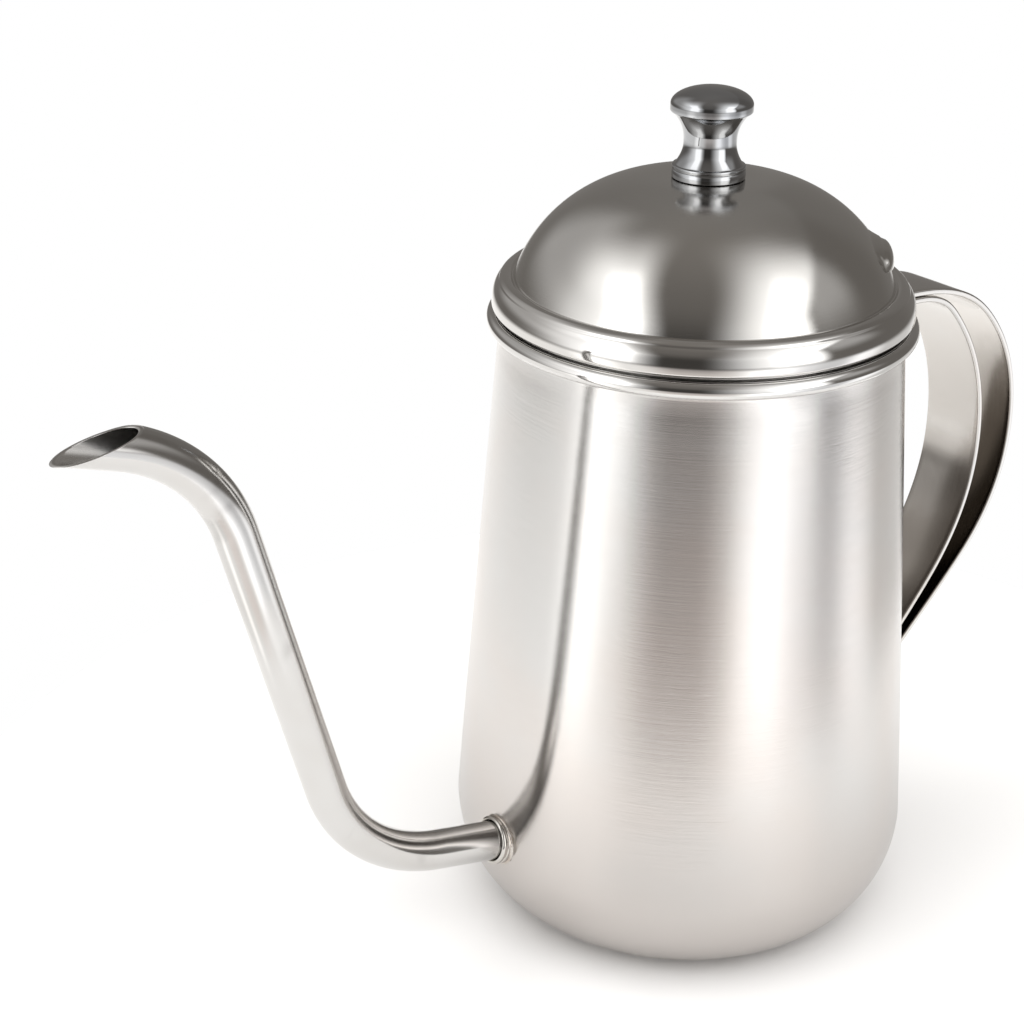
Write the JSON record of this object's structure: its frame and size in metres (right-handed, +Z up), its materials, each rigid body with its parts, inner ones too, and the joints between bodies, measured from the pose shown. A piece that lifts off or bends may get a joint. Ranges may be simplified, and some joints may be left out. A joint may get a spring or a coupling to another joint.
{
  "type": "gooseneck kettle",
  "caption": "Tapered stainless pour-over kettle with a slim gooseneck spout, a strap handle and a lift-off domed lid with a turned knob.",
  "frame": {"origin": "on the vessel's axis in the plane it stands on, at the centre of the flat base", "axes": "+Z up along the vessel's axis, +X towards the handle, spout towards -X, spout, vessel and handle in the plane Y = 0"},
  "size_m": [0.2215, 0.0962, 0.1721],
  "materials": {
    "steel_satin": "satin, fine horizontal brushing",
    "steel_base": "satin",
    "steel_tube": "polished",
    "steel_collar": "polished",
    "steel_strap_outer": "polished with soft grain",
    "steel_strap_inner": "polished with soft grain",
    "steel_lid": "satin dome, polished brim",
    "steel_skirt": "satin",
    "steel_knob": "mirror polished",
    "steel_screw": "bright",
    "steel_washer": "bright"
  },
  "bodies": {
    "vessel": {"body_shell": "steel_satin", "base_pan": "steel_base", "spout_tube": "steel_tube", "spout_collar": "steel_collar", "handle_outer_strap": "steel_strap_outer", "handle_inner_strap": "steel_strap_inner"},
    "lid": {"lid_dome": "steel_lid", "lid_skirt": "steel_skirt", "knob": "steel_knob", "knob_screw": "steel_screw", "screw_washer": "steel_washer"}
  },
  "joints": [
    {"name": "lid_lift", "type": "slide", "parent": "vessel", "child": "lid", "axis": [0, 0, 1], "range_m": [0, 0.08]}
  ]
}
